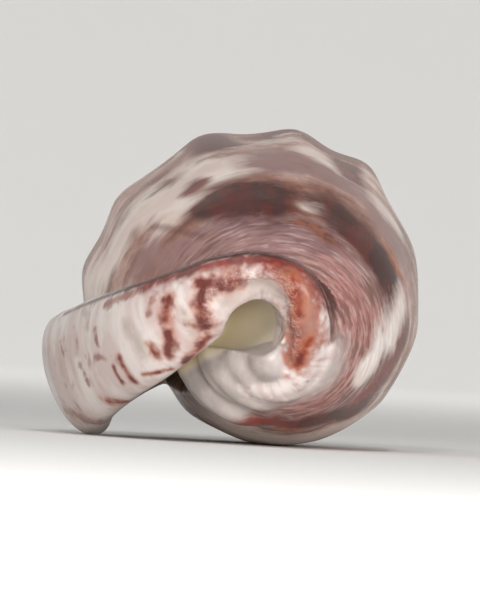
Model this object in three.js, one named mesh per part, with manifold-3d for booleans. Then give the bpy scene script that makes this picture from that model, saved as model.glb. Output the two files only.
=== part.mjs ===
import * as THREE from "three";
import { LoftGeometry } from "three/addons/geometries/LoftGeometry.js";
import { mergeVertices } from "three/addons/utils/BufferGeometryUtils.js";
import Module from "manifold-3d";

// Marginella shell, in millimetres. It is first built about its coil axis, which is the Y axis:
// y is 0 near the siphonal end and grows towards the apex. Angles are in degrees, seen from the
// siphonal end, anticlockwise from +X. The shell grew that way round, up to the outer lip.

// Coil
const shellLength = 35;
const shoulderRadius = 12.3;
const spireHeight = 9.5;
const lipAngle = 222;
const turnBack = lipAngle - 360;
const bodyGrowth = 0.0592;
const spireGrowth = 0.105;
const nucleusAngle = -1240;
const nucleusRadius = 0.95;
const axisCoreRadius = 0.5;

// Whorl outline, from the front end to the shoulder and up the ramp to the suture
const frontStart = 0.4;
const frontRetreat = 8;
const baseBluntness = 2.6;
const baseFullness = 0.58;
const frontRadiusShare = 0.2;
const rampBulge = 0.8;
const sutureDrop = 0.35;
const axisGap = 0.12;

// Shoulder knobs: angle and strength round the last whorl, then an even step up the spire
const knobHeight = 0.8;
const knobWidth = 6.5;
const knobReach = 0.55;
const knobs = [
  [176, 0.6],
  [147, 0.6],
  [111, 0.8],
  [79, 0.9],
  [52, 1],
  [18, 0.35],
  [-12, 0.6],
  [-41, 1],
  [-70, 0.8],
  [-98, 0.8],
  [-126, 0.8],
];
const spireKnobStep = 29;
const spireKnobStrength = 0.8;

// Wall and the hollow behind the aperture
const wall = 1.3;
const frontWallShare = 0.75;
const callus = 0.12;
const columellaRadius = 1.15;
const narrowestGap = 0.5;
const topNarrowing = 0.6;
const hollowEndAngle = -70;
const hollowMouthAngle = 246;
const hollowBackAngle = 95;
const hollowFrontAngle = 165;
const hollowStartRise = 2.2;
const hollowTopDrop = 0.4;
const mouthFlare = 2.2;
const frontOfAll = -3;

// Angle at which the last whorl's wall stops under the rolled lip, from the front to the shoulder
const wallStops = [
  [0, 118],
  [0.06, 150],
  [0.17, 182],
  [0.4, 197],
  [1, 206],
];

// Rolled margin: centre, half width along the surface and half thickness across it. It runs from
// the suture down the outer lip, hooks round the siphonal notch and ends on the columella.
const rollFocus = 14;
const rollStations = [
  { at: [-6.7, 28.1, -3.9], width: 2.0, thickness: 1.1 },
  { at: [-11.1, 26.0, -4.6], width: 3.2, thickness: 1.6 },
  { at: [-12.4, 22.4, -4.5], width: 4.1, thickness: 1.95 },
  { at: [-12.3, 17.0, -3.4], width: 4.0, thickness: 1.95 },
  { at: [-10.6, 10.4, -1.3], width: 3.6, thickness: 1.8 },
  { at: [-8.2, 5.4, 0.6], width: 3.2, thickness: 1.7 },
  { at: [-5.7, 3.3, 2.3], width: 2.65, thickness: 1.8 },
  { at: [-3.55, 2.45, 3.75], width: 2.05, thickness: 2.1 },
  { at: [-1.3, 2.4, 4.45], width: 1.4, thickness: 2.1 },
  { at: [0.65, 2.5, 3.45], width: 1.45, thickness: 2.1 },
  { at: [1.35, 2.8, 1.6], width: 1.6, thickness: 2.1 },
  { at: [1.25, 3.3, -0.4], width: 1.6, thickness: 2.0 },
  { at: [0.65, 3.6, -1.9], width: 1.3, thickness: 1.7 },
  { at: [-0.55, 3.9, -2.7], width: 0.95, thickness: 1.3 },
  { at: [-2.0, 4.6, -2.75], width: 0.65, thickness: 0.85 },
  { at: [-3.0, 6.2, -2.2], width: 0.4, thickness: 0.5 },
];

// Columella: a pillar round the coil axis, with low plaits that wind into the aperture
const pillarStations = [
  { at: [-0.2, 1.5, -0.9], width: 0.8, thickness: 0.8 },
  { at: [-0.25, 2.1, -0.95], width: 1.5, thickness: 1.5 },
  { at: [-0.4, 3.2, -1.0], width: 1.9, thickness: 1.9 },
  { at: [-0.3, 4.6, -1.0], width: 2.0, thickness: 2.0 },
  { at: [-0.2, 6.4, -0.8], width: 2.1, thickness: 2.1 },
  { at: [0, 9.0, -0.4], width: 2.3, thickness: 2.3 },
  { at: [0, 13.0, 0], width: 2.6, thickness: 2.6 },
];
const plaitHeights = [6.0, 7.9, 9.8];
const plaitRadius = 0.38;
const plaitFromAngle = 246;
const plaitToAngle = 160;

// Siphonal canal: the round way in at the front, which bends into the hollow
const canalRadius = 1.85;
const canalRoute = [
  new THREE.Vector3(-1.75, frontOfAll, 1.1),
  new THREE.Vector3(-1.75, 1, 1.1),
  new THREE.Vector3(-2.3, 4.5, 1.2),
  new THREE.Vector3(-4.4, 8.5, 1.2),
];

// Rest on belly and lip: the siphonal end dips by the pitch, and the lip side by the lean
const restPitch = 7.15;
const restLean = 3.83;

// Steps of the faceted surface
const turnStep = 6;
const spireStep = 15;
const outlineSteps = 14;
const rampSteps = 4;
const hollowSteps = 10;
const rollSteps = 48;
const canalSteps = 10;
const pillarSteps = 15;
const plaitSteps = 9;

const { lerp, clamp, smoothstep, degToRad } = THREE.MathUtils;

function range(from, to, steps) {
  return Array.from({ length: steps + 1 }, (_, i) => lerp(from, to, i / steps));
}

function interpolate(pairs, at) {
  for (let i = 1; i < pairs.length; i++) {
    const [x0, y0] = pairs[i - 1];
    const [x1, y1] = pairs[i];
    if (at <= x1) return lerp(y0, y1, Math.max(0, at - x0) / (x1 - x0));
  }
  return pairs.at(-1)[1];
}

function coilPoint(angle, radius, y) {
  const turn = degToRad(angle);
  return new THREE.Vector3(radius * Math.cos(turn), y, radius * Math.sin(turn));
}

// Size of the whorl at an angle, as a share of its size at the lip
function growth(angle) {
  const body = Math.exp(bodyGrowth * degToRad(Math.max(angle, turnBack) - lipAngle));
  return body * Math.exp(spireGrowth * degToRad(Math.min(angle - turnBack, 0)));
}

function shoulderY(angle) {
  return shellLength - spireHeight * growth(angle);
}

function frontY(angle) {
  return frontStart + frontRetreat * (1 - growth(angle));
}

// Radius of the whorl at growth 1, from the front end (share 0) to the shoulder (share 1)
function outline(share) {
  const rise = Math.pow(1 - Math.pow(1 - share, baseBluntness), baseFullness);
  return shoulderRadius * lerp(frontRadiusShare, 1, rise);
}

function hump(distance) {
  return Math.exp(-0.5 * Math.pow(distance / knobWidth, 2));
}

function knobLift(angle) {
  const [firstAngle] = knobs.at(-1);
  let lift = 0;
  for (const [centre, strength] of knobs) lift += strength * hump(angle - centre);
  if (angle < firstAngle - spireKnobStep / 2) {
    const place = (angle - firstAngle) / spireKnobStep;
    lift += spireKnobStrength * hump((place - Math.round(place)) * spireKnobStep);
  }
  return knobHeight * lift * growth(angle);
}

function wallRadius(angle, share) {
  const ribbing = smoothstep(share, 1 - knobReach, 1);
  return outline(share) * growth(angle) + knobLift(angle) * ribbing;
}

function wallPoint(angle, share) {
  return [wallRadius(angle, share), lerp(frontY(angle), shoulderY(angle), share)];
}

function shareAt(angle, y) {
  return clamp((y - frontY(angle)) / (shoulderY(angle) - frontY(angle)), 0, 1);
}

// Ramp from the shoulder (share 0) up to the suture on the whorl before (share 1)
function rampPoint(angle, share) {
  const before = angle - 360;
  const size = growth(angle);
  const sutureRadius = shoulderRadius * growth(before) * 0.97;
  const sutureY = shoulderY(before) - sutureDrop * size;
  const radius = lerp(shoulderRadius * size, sutureRadius, share);
  const rise = Math.pow(Math.sin((share * Math.PI) / 2), rampBulge);
  return [radius + knobLift(angle) * Math.pow(1 - share, 2), lerp(shoulderY(angle), sutureY, rise)];
}

const wasm = await Module();
wasm.setup();

function toSolid(geometry) {
  const bare = new THREE.BufferGeometry();
  bare.setAttribute("position", geometry.getAttribute("position"));
  bare.setIndex(geometry.getIndex());
  const merged = mergeVertices(bare, 1e-4);
  const vertProperties = merged.attributes.position.array;
  const triVerts = new Uint32Array(merged.index.array);
  return new wasm.Manifold(new wasm.Mesh({ numProp: 3, vertProperties, triVerts }));
}

function loft(sections) {
  return toSolid(new LoftGeometry(sections, { capStart: true, capEnd: true }));
}

function toGeometry(solid) {
  const mesh = solid.getMesh();
  const geometry = new THREE.BufferGeometry();
  geometry.setAttribute("position", new THREE.BufferAttribute(mesh.vertProperties, 3));
  geometry.setIndex(new THREE.BufferAttribute(mesh.triVerts, 1));
  geometry.computeVertexNormals();
  return geometry;
}

// Stretches of a long loft, each less than a turn, which overlap by one step
function loftInStretches(sections, count) {
  const length = Math.ceil((sections.length - 1) / count);
  let solid = null;
  for (let start = 0; start < sections.length - 1; start += length) {
    const stretch = loft(sections.slice(Math.max(0, start - 1), start + length + 1));
    solid = solid ? solid.add(stretch) : stretch;
  }
  return solid;
}

// Section of the last whorl, solid to the axis. Near the lip each height has an angle of its own,
// so that the wall ends inside the rolled margin.
function bodySection(angle) {
  const bendStart = 102;
  const bend = Math.pow(clamp((angle - bendStart) / (lipAngle - bendStart), 0, 1), 2);
  const turned = (share) => angle + bend * (interpolate(wallStops, share) - lipAngle);
  const points = [coilPoint(turned(0), axisGap, frontY(angle))];
  for (const step of range(0, 1, outlineSteps)) {
    const share = lerp(step, smoothstep(step, 0, 1), 0.4);
    points.push(coilPoint(turned(share), ...wallPoint(angle, share)));
  }
  for (const share of range(0, 1, rampSteps).slice(1)) {
    points.push(coilPoint(turned(1), ...rampPoint(angle, share)));
  }
  points.push(coilPoint(turned(1), axisGap, rampPoint(angle, 1)[1]));
  return points;
}

function makeBody() {
  const steps = 1 + Math.round(360 / turnStep);
  const angles = range(turnBack - turnStep, lipAngle, steps);
  return loftInStretches(angles.map(bodySection), 3);
}

function spireSection(angle) {
  const bottomY = shoulderY(angle) - 3 * growth(angle);
  const points = [coilPoint(angle, axisGap, bottomY)];
  points.push(coilPoint(angle, 0.9 * shoulderRadius * growth(angle), bottomY));
  for (const share of [0.94, 1]) points.push(coilPoint(angle, ...wallPoint(angle, share)));
  for (const share of range(0, 1, rampSteps).slice(1)) {
    points.push(coilPoint(angle, ...rampPoint(angle, share)));
  }
  points.push(coilPoint(angle, axisGap, rampPoint(angle, 1)[1]));
  return points;
}

function makeSpire() {
  const end = turnBack + turnStep;
  const steps = Math.ceil((end - nucleusAngle) / spireStep);
  const whorls = loftInStretches(range(nucleusAngle, end, steps).map(spireSection), 6);
  const nucleus = new THREE.SphereGeometry(nucleusRadius, 16, 10);
  nucleus.translate(0, shellLength - nucleusRadius, 0);
  const coreLength = shellLength - 5;
  const core = new THREE.CylinderGeometry(axisCoreRadius, axisCoreRadius, coreLength, 8);
  core.translate(0, 4 + coreLength / 2, 0);
  return whorls.add(toSolid(nucleus)).add(toSolid(core));
}

// Inner side of the hollow: the whorl before, or the columella in front of it
function innerRadius(angle, y) {
  const before = angle - 360;
  const whorlBefore = y > frontY(before) ? wallRadius(before, shareAt(before, y)) : 0;
  return Math.max(columellaRadius, whorlBefore) + callus;
}

function hollowSection(angle) {
  const size = growth(angle);
  const open = smoothstep(angle, hollowBackAngle, hollowFrontAngle);
  const lowY = lerp(frontY(angle - 360) + hollowStartRise, frontOfAll, open);
  const topY = shoulderY(angle) - hollowTopDrop * size;
  const inner = [];
  const outer = [];
  for (const step of range(0, 1, hollowSteps)) {
    const y = lerp(lowY, topY, step);
    const share = shareAt(angle, y);
    const inside = innerRadius(angle, y);
    const thickness = wall * lerp(frontWallShare, 1, share);
    const flare = mouthFlare * smoothstep(angle, 100, 165) * Math.pow(1 - share, 4);
    const gap = outline(share) * size - thickness + flare - inside;
    const narrowing = 1 - topNarrowing * Math.pow(step, 8);
    inner.push(coilPoint(angle, inside, y));
    outer.push(coilPoint(angle, inside + Math.max(narrowestGap, gap) * narrowing, y));
  }
  return outer.concat(inner.reverse());
}

function makeHollow() {
  const steps = Math.ceil((hollowMouthAngle - hollowEndAngle) / turnStep);
  return loftInStretches(range(hollowEndAngle, hollowMouthAngle, steps).map(hollowSection), 2);
}

function makeCanal() {
  const section = new THREE.Shape();
  section.absarc(0, 0, canalRadius, 0, Math.PI * 2);
  const canal = new THREE.ExtrudeGeometry(section, {
    steps: canalSteps,
    curveSegments: 16,
    bevelEnabled: false,
    extrudePath: new THREE.CatmullRomCurve3(canalRoute),
  });
  return toSolid(canal);
}

// An oval section swept through stations, its thickness pointing away from the inside of the shell
function sweep(stations, steps, ringPoints) {
  const points = stations.map((station) => new THREE.Vector3(...station.at));
  const route = new THREE.CatmullRomCurve3(points, false, "centripetal");
  const sections = range(0, 1, steps).map((along) => {
    const centre = route.getPoint(along);
    const tangent = route.getTangent(along);
    const place = along * (stations.length - 1);
    const i = Math.min(stations.length - 2, Math.floor(place));
    const width = lerp(stations[i].width, stations[i + 1].width, place - i);
    const thickness = lerp(stations[i].thickness, stations[i + 1].thickness, place - i);
    const focus = new THREE.Vector3(0, Math.max(rollFocus, centre.y), 0);
    const outward = centre.clone().sub(focus);
    outward.addScaledVector(tangent, -outward.dot(tangent)).normalize();
    const across = new THREE.Vector3().crossVectors(tangent, outward);
    return range(0, 2 * Math.PI, ringPoints)
      .slice(1)
      .map((turn) =>
        centre
          .clone()
          .addScaledVector(across, width * Math.cos(turn))
          .addScaledVector(outward, -thickness * Math.sin(turn)),
      );
  });
  return loft(sections);
}

// A plait winds back along the inner side of the aperture, and sinks into it at both ends
function makePlait(height) {
  const stations = range(0, 1, 8).map((along) => {
    const angle = lerp(plaitFromAngle, plaitToAngle, along);
    const y = shellLength - (shellLength - height) * (growth(angle) / growth(lipAngle));
    const rise = Math.sin(Math.PI * along);
    const radius = innerRadius(angle, y) + plaitRadius * (0.9 * rise - 0.8);
    const size = plaitRadius * (0.35 + 0.65 * rise);
    return { at: coilPoint(angle, radius, y).toArray(), width: size, thickness: size };
  });
  return sweep(stations, plaitSteps, 8);
}

function makeShell() {
  let shell = makeBody().add(makeSpire()).subtract(makeHollow());
  shell = shell.add(sweep(rollStations, rollSteps, 12));
  shell = shell.add(sweep(pillarStations, pillarSteps, 12));
  for (const height of plaitHeights) shell = shell.add(makePlait(height));
  return shell.subtract(makeCanal());
}

const shellColour = new THREE.MeshStandardMaterial({
  color: "#cbb8b2",
  roughness: 0.28,
  metalness: 0,
});

const shell = new THREE.Mesh(toGeometry(makeShell()), shellColour);
shell.name = "shell";
shell.rotation.set(degToRad(restPitch), degToRad(-restLean), 0, "YXZ");

const box = new THREE.Box3().setFromObject(shell, true);
const middle = box.getCenter(new THREE.Vector3());
shell.position.set(-middle.x, -middle.y, -box.min.z);

const group = new THREE.Group();
group.add(shell);

export default group;
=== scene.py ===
import math
import bpy
import numpy as np
from mathutils import Matrix, Vector


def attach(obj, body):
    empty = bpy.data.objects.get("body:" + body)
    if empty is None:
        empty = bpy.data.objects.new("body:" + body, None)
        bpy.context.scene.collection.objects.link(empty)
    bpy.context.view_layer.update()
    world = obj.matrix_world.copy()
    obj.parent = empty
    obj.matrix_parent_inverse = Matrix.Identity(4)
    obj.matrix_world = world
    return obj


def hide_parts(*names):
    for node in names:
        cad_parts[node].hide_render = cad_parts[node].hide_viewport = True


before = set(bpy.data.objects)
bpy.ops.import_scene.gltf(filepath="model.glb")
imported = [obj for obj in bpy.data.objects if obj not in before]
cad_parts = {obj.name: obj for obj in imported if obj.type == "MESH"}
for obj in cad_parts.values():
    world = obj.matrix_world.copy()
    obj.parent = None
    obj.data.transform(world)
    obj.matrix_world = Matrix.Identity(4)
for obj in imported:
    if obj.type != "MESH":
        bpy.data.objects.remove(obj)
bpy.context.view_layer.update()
print("frame loaded")

# A marginella shell on pale paper, seen end on from its siphonal end
millimetre = 0.001

# The coil that the whole shell follows, in millimetres. Its axis is Y, from the siphonal end to the
# apex, and angles run anticlockwise from +X as seen from the siphonal end.
coil = {
    "length": 35.0,
    "shoulderRadius": 12.3,
    "spireHeight": 9.5,
    "lipAngle": 222.0,
    "bodyGrowth": 0.0592,        # per radian, over the last whorl
    "spireGrowth": 0.105,        # per radian, before it
    "frontStart": 0.4,
    "frontRetreat": 8.0,
    "bluntness": 2.6,
    "fullness": 0.58,
    "frontShare": 0.2,
    "rampBulge": 0.8,
    "sutureDrop": 0.35,
    "sutureShare": 0.97,         # of the shoulder radius one turn before
    "wall": 1.3,
    "axisGap": 0.12,             # keeps a section from folding over the axis
    "apexAngle": -1240.0,
}
turnBack = coil["lipAngle"] - 360

# Shoulder knobs: angle and strength, round the last whorl and then evenly up the spire
knobs = {
    "height": 0.8,
    "width": 6.5,
    "reach": 0.55,
    "places": [(176, 0.6), (147, 0.6), (111, 0.8), (79, 0.9), (52, 1.0), (18, 0.35),
               (-12, 0.6), (-41, 1.0), (-70, 0.8), (-98, 0.8), (-126, 0.8)],
    "spireStep": 29.0,
    "spireStrength": 0.8,
}


def smooth(value, low, high):
    share = np.clip((value - low) / (high - low), 0, 1)
    return share * share * (3 - 2 * share)


def growth(angle):
    body = np.exp(coil["bodyGrowth"] * np.radians(np.maximum(angle, turnBack) - coil["lipAngle"]))
    return body * np.exp(coil["spireGrowth"] * np.radians(np.minimum(angle - turnBack, 0)))


def shoulderY(angle):
    return coil["length"] - coil["spireHeight"] * growth(angle)


def frontY(angle):
    return coil["frontStart"] + coil["frontRetreat"] * (1 - growth(angle))


def outline(share):
    rise = (1 - (1 - share) ** coil["bluntness"]) ** coil["fullness"]
    return coil["shoulderRadius"] * (coil["frontShare"] + (1 - coil["frontShare"]) * rise)


def hump(distance):
    return np.exp(-0.5 * (distance / knobs["width"]) ** 2)


def knobLift(angle):
    lift = sum(strength * hump(angle - place) for place, strength in knobs["places"])
    first = knobs["places"][-1][0]
    steps = (angle - first) / knobs["spireStep"]
    spire = knobs["spireStrength"] * hump((steps - np.round(steps)) * knobs["spireStep"])
    lift = lift + np.where(angle < first - knobs["spireStep"] / 2, spire, 0)
    return knobs["height"] * lift * growth(angle)


def wallRadius(angle, share):
    return outline(share) * growth(angle) + knobLift(angle) * smooth(share, 1 - knobs["reach"], 1)


def shareAt(angle, y):
    return np.clip((y - frontY(angle)) / (shoulderY(angle) - frontY(angle)), 0, 1)


def wallPoint(angle, share):
    y = frontY(angle) + (shoulderY(angle) - frontY(angle)) * share
    return wallRadius(angle, share), y


# Where the ramp over the shoulder meets the whorl before: radius and height
def suture(angle):
    radius = coil["shoulderRadius"] * growth(angle - 360) * coil["sutureShare"]
    return radius, shoulderY(angle - 360) - coil["sutureDrop"] * growth(angle)


def rampPoint(angle, share):
    size = growth(angle)
    sutureRadius, sutureY = suture(angle)
    radius = coil["shoulderRadius"] * size + (sutureRadius - coil["shoulderRadius"] * size) * share
    rise = math.sin(share * math.pi / 2) ** coil["rampBulge"]
    top = shoulderY(angle)
    return radius + knobLift(angle) * (1 - share) ** 2, top + (sutureY - top) * rise


def coilPoint(angle, radius, y):
    return (radius * math.cos(math.radians(angle)), y, radius * math.sin(math.radians(angle)))


def startClean():
    bpy.ops.object.select_all(action="DESELECT")


# A grid wrapped round into a closed sleeve: its rows go to the sections, its open ends are filled
def addSleeve(name, sections):
    rows, columns = len(sections), len(sections[0])
    startClean()
    bpy.ops.mesh.primitive_grid_add(x_subdivisions=columns, y_subdivisions=rows - 1, size=2)
    sleeve = bpy.context.object
    sleeve.name = name
    points = np.array([list(section) + [section[0]] for section in sections], dtype=np.float32)
    sleeve.data.vertices.foreach_set("co", points.ravel())
    sleeve.data.update()
    bpy.ops.object.mode_set(mode="EDIT")
    bpy.ops.mesh.select_all(action="SELECT")
    bpy.ops.mesh.remove_doubles(threshold=1e-5)
    bpy.ops.mesh.fill_holes(sides=0)
    bpy.ops.mesh.quads_convert_to_tris()
    bpy.ops.mesh.normals_make_consistent(inside=False)
    bpy.ops.object.mode_set(mode="OBJECT")
    return sleeve


# Shares of the height that crowd a little towards both ends
def heightSteps(count):
    steps = np.linspace(0, 1, count)
    return 0.6 * steps + 0.4 * smooth(steps, 0, 1)


# Where the wall ends under the rolled lip, and the hollow that the animal lived in
mouth = {
    "bendStart": 102.0,
    "wallShares": [0, 0.06, 0.17, 0.4, 1],
    "wallAngles": [118, 150, 182, 197, 206],
    "hollowEnd": -70.0,
    "hollowMouth": 246.0,
    "openFrom": 95.0,            # degrees between which the hollow opens to the front
    "openTo": 165.0,
    "startRise": 2.2,            # millimetres
    "topDrop": 0.4,
    "flare": 2.2,
    "flareFrom": 100.0,
    "narrowest": 0.5,
    "topNarrowing": 0.6,
    "frontOfAll": -3.0,
    "frontWall": 0.75,           # of the wall's thickness
    "rows": 28,
}


def turnedAngle(angle, share):
    bend = np.clip((angle - mouth["bendStart"]) / (coil["lipAngle"] - mouth["bendStart"]), 0, 1) ** 2
    stop = np.interp(share, mouth["wallShares"], mouth["wallAngles"])
    return angle + bend * (stop - coil["lipAngle"])


rampShares = np.linspace(0, 1, 11)[1:]


# The last whorl is solid to the axis here; the hollow is cut from it afterwards
def bodySection(angle):
    gap = coil["axisGap"]
    points = [coilPoint(turnedAngle(angle, 0), gap, frontY(angle))]
    for share in heightSteps(48):
        points.append(coilPoint(turnedAngle(angle, share), *wallPoint(angle, share)))
    turned = turnedAngle(angle, 1)
    points += [coilPoint(turned, *rampPoint(angle, share)) for share in rampShares]
    points.append(coilPoint(turned, gap, rampPoint(angle, 1)[1]))
    return points


# A whorl of the spire shows no more than its shoulder and its ramp
spire = {
    "depth": 3.0,
    "skirt": 0.9,                # of the shoulder radius
    "wallShares": (0.94, 0.97, 1),
    "tipRadius": 0.95,
    "tipHeight": 34.05,
    "coreRadius": 0.5,
    "coreLength": 30.0,
    "coreMiddle": 19.0,
}


def spireSection(angle):
    gap = coil["axisGap"]
    low = shoulderY(angle) - spire["depth"] * growth(angle)
    points = [coilPoint(angle, gap, low)]
    points.append(coilPoint(angle, spire["skirt"] * coil["shoulderRadius"] * growth(angle), low))
    points += [coilPoint(angle, *wallPoint(angle, share)) for share in spire["wallShares"]]
    points += [coilPoint(angle, *rampPoint(angle, share)) for share in rampShares]
    points.append(coilPoint(angle, gap, rampPoint(angle, 1)[1]))
    return points


# Stretches of one long coil, each less than a turn, which overlap by a step
def addCoil(name, section, start, stop, step, stretches):
    angles = np.linspace(start, stop, round((stop - start) / step) + 1)
    length = math.ceil((len(angles) - 1) / stretches)
    pieces = []
    for first in range(0, len(angles) - 1, length):
        part = angles[max(0, first - 1):first + length + 1]
        pieces.append(addSleeve(name, [section(angle) for angle in part]))
    return pieces


# The whorls, a rounded tip and a core along the axis, which overlap so that they can be fused
def addWhorls():
    overlap = 6
    pieces = addCoil("whorlPart", bodySection, turnBack - overlap, coil["lipAngle"], step=2, stretches=3)
    pieces += addCoil("spirePart", spireSection, coil["apexAngle"], turnBack + overlap, step=4, stretches=6)
    startClean()
    bpy.ops.mesh.primitive_uv_sphere_add(segments=24, ring_count=16, radius=spire["tipRadius"],
                                         location=(0, spire["tipHeight"], 0))
    pieces.append(bpy.context.object)
    bpy.ops.mesh.primitive_cylinder_add(vertices=16, radius=spire["coreRadius"], depth=spire["coreLength"],
                                        location=(0, spire["coreMiddle"], 0), rotation=(math.pi / 2, 0, 0))
    pieces.append(bpy.context.object)
    return pieces


# Columella pillar and the plaits that wind into the aperture
columella = {
    "stations": [
        ((-0.2, 1.9, -0.9), 1.0, 1.0),
        ((-0.3, 2.5, -0.95), 1.5, 1.5),
        ((-0.4, 3.4, -1.0), 1.85, 1.85),
        ((-0.3, 4.6, -1.0), 2.0, 2.0),
        ((-0.2, 6.4, -0.8), 2.1, 2.1),
        ((0, 9.0, -0.4), 2.3, 2.3),
        ((0, 13.0, 0), 2.6, 2.6),
    ],
    "radius": 1.15,
    "callus": 0.12,
    "plaitHeights": [6.0, 7.9, 9.8],
    "plaitRadius": 0.38,
    "plaitRise": 0.9,            # of the plait's radius, and so are the next two
    "plaitSink": 0.8,
    "plaitTip": 0.35,
    "plaitFrom": 246.0,
    "plaitTo": 160.0,
}


# Inner side of the hollow: the whorl before, or the columella in front of it
def innerRadius(angle, y):
    before = angle - 360
    radius = wallRadius(before, shareAt(before, y)) if y > frontY(before) else 0
    return max(columella["radius"], radius) + columella["callus"]


def hollowSection(angle):
    size = growth(angle)
    opened = smooth(angle, mouth["openFrom"], mouth["openTo"])
    low = (frontY(angle - 360) + mouth["startRise"]) * (1 - opened) + mouth["frontOfAll"] * opened
    top = shoulderY(angle) - mouth["topDrop"] * size
    inner, outer = [], []
    for step in np.linspace(0, 1, mouth["rows"]):
        y = low + (top - low) * step
        share = shareAt(angle, y)
        inside = innerRadius(angle, y)
        thickness = coil["wall"] * (mouth["frontWall"] + (1 - mouth["frontWall"]) * share)
        flare = mouth["flare"] * smooth(angle, mouth["flareFrom"], mouth["openTo"]) * (1 - share) ** 4
        gap = max(mouth["narrowest"], outline(share) * size - thickness + flare - inside)
        inner.append(coilPoint(angle, inside, y))
        outer.append(coilPoint(angle, inside + gap * (1 - mouth["topNarrowing"] * step ** 8), y))
    return outer + inner[::-1]


# Rolled margin, from the suture down the outer lip, round the siphonal notch to the columella:
# centre, half width along the surface, half thickness across it
lipRoll = {
    "focus": 14.0,               # below this height, thickness points away from this point of the axis
    "steps": 160,
    "ringPoints": 40,
    "stations": [
        ((-6.7, 28.1, -3.9), 2.0, 1.1),
        ((-11.1, 26.0, -4.6), 3.2, 1.6),
        ((-12.4, 22.4, -4.5), 4.1, 1.95),
        ((-12.3, 17.0, -3.4), 4.0, 1.95),
        ((-10.6, 10.4, -1.3), 3.6, 1.8),
        ((-8.2, 5.4, 0.6), 3.2, 1.7),
        ((-5.7, 3.3, 2.3), 2.65, 1.8),
        ((-3.55, 2.45, 3.75), 2.05, 2.1),
        ((-1.3, 2.4, 4.45), 1.4, 2.1),
        ((0.65, 2.5, 3.45), 1.45, 2.1),
        ((1.35, 2.8, 1.6), 1.6, 2.1),
        ((1.25, 3.3, -0.4), 1.6, 2.0),
        ((0.65, 3.6, -1.9), 1.3, 1.7),
        ((-0.55, 3.9, -2.7), 0.95, 1.3),
        ((-2.0, 4.6, -2.75), 0.65, 0.85),
        ((-3.0, 6.2, -2.2), 0.4, 0.5),
    ],
}

# Glazed folds that wind from the callus round the columella into the mouth: centre and radius
folds = {
    "first": [((1.6, 3.9, -2.7), 0.6), ((0.2, 3.6, -3.0), 0.85), ((-1.2, 3.9, -2.75), 0.95),
              ((-2.3, 4.6, -1.8), 1.0), ((-3.0, 5.8, -0.6), 1.0), ((-3.5, 7.5, 0.6), 1.0),
              ((-4.0, 10, 2.0), 0.9)],
    "second": [((0.2, 5.0, -4.0), 0.5), ((-1.2, 4.9, -3.9), 0.75), ((-2.7, 5.2, -3.0), 0.95),
               ((-3.8, 6.2, -1.6), 1.1), ((-4.5, 8.0, 0), 1.2), ((-5.0, 10.5, 1.6), 1.1)],
    "third": [((-0.8, 7.0, -5.0), 0.7), ((-2.4, 7.0, -4.8), 1.0), ((-4.0, 7.8, -3.7), 1.2),
              ((-5.2, 9.2, -2.2), 1.3), ((-5.9, 11.5, -0.4), 1.2)],
    "bed": [((0.3, 4.2, -1.6), 1.7), ((-1.6, 5.4, -1.7), 1.9), ((-2.8, 7.0, -0.8), 1.9),
            ((-3.2, 9.5, 0.6), 1.9), ((-3.0, 12, 1.8), 1.8)],
}


def blend(a, b, low, high, at):
    return a * ((high - at) / (high - low)) + b * ((at - low) / (high - low))


# Centripetal curve through the stations: centre, width, thickness, way across and way out at each step
def followStations(stations, steps):
    points = [Vector(at) for at, width, thickness in stations]
    before = points[0] * 2 - points[1]
    after = points[-1] * 2 - points[-2]
    chain = [before] + points + [after]
    rows = []
    for step in range(steps + 1):
        place = step / steps * (len(points) - 1)
        index = min(int(place), len(points) - 2)
        mix = place - index
        p0, p1, p2, p3 = chain[index:index + 4]
        knots = [0.0]
        for a, b in ((p0, p1), (p1, p2), (p2, p3)):
            knots.append(knots[-1] + math.sqrt((b - a).length))
        at = knots[1] + (knots[2] - knots[1]) * mix
        a1, a2, a3 = (blend(a, b, knots[i], knots[i + 1], at)
                      for i, (a, b) in enumerate(((p0, p1), (p1, p2), (p2, p3))))
        b1 = blend(a1, a2, knots[0], knots[2], at)
        b2 = blend(a2, a3, knots[1], knots[3], at)
        centre = blend(b1, b2, knots[1], knots[2], at)
        width = stations[index][1] * (1 - mix) + stations[index + 1][1] * mix
        thickness = stations[index][2] * (1 - mix) + stations[index + 1][2] * mix
        rows.append([centre, width, thickness])
    for i, row in enumerate(rows):
        tangent = (rows[min(i + 1, steps)][0] - rows[max(i - 1, 0)][0]).normalized()
        outward = row[0] - Vector((0, max(lipRoll["focus"], row[0].y), 0))
        outward = (outward - tangent * outward.dot(tangent)).normalized()
        row += [tangent.cross(outward), outward]
    return rows


def addSweep(name, stations, steps, ringPoints):
    turns = [2 * math.pi * k / ringPoints for k in range(ringPoints)]
    sections = []
    for centre, width, thickness, across, outward in followStations(stations, steps):
        ring = [centre + across * (width * math.cos(turn)) - outward * (thickness * math.sin(turn))
                for turn in turns]
        sections.append([tuple(point) for point in ring])
    return addSleeve(name, sections)


def plaitStations(height):
    stations = []
    for along in np.linspace(0, 1, 9):
        angle = columella["plaitFrom"] + (columella["plaitTo"] - columella["plaitFrom"]) * along
        y = coil["length"] - (coil["length"] - height) * growth(angle)
        rise = math.sin(math.pi * along)
        lift = columella["plaitRise"] * rise - columella["plaitSink"]
        radius = innerRadius(angle, y) + columella["plaitRadius"] * lift
        tip = columella["plaitTip"]
        size = columella["plaitRadius"] * (tip + (1 - tip) * rise)
        stations.append((coilPoint(angle, radius, y), size, size))
    return stations


# Siphonal canal: a round hole from the front end into the hollow
canal = {
    "radius": 1.85,
    "stations": [(-1.75, -3, 1.1), (-1.75, 1, 1.1), (-2.4, 4.2, 1.2), (-4.8, 7.2, 1.2)],
}

skin = {
    "voxel": 0.19,               # millimetres
    "smoothing": 4,
    "smoothFactor": 0.5,
    "triangles": 190000,
}


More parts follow.
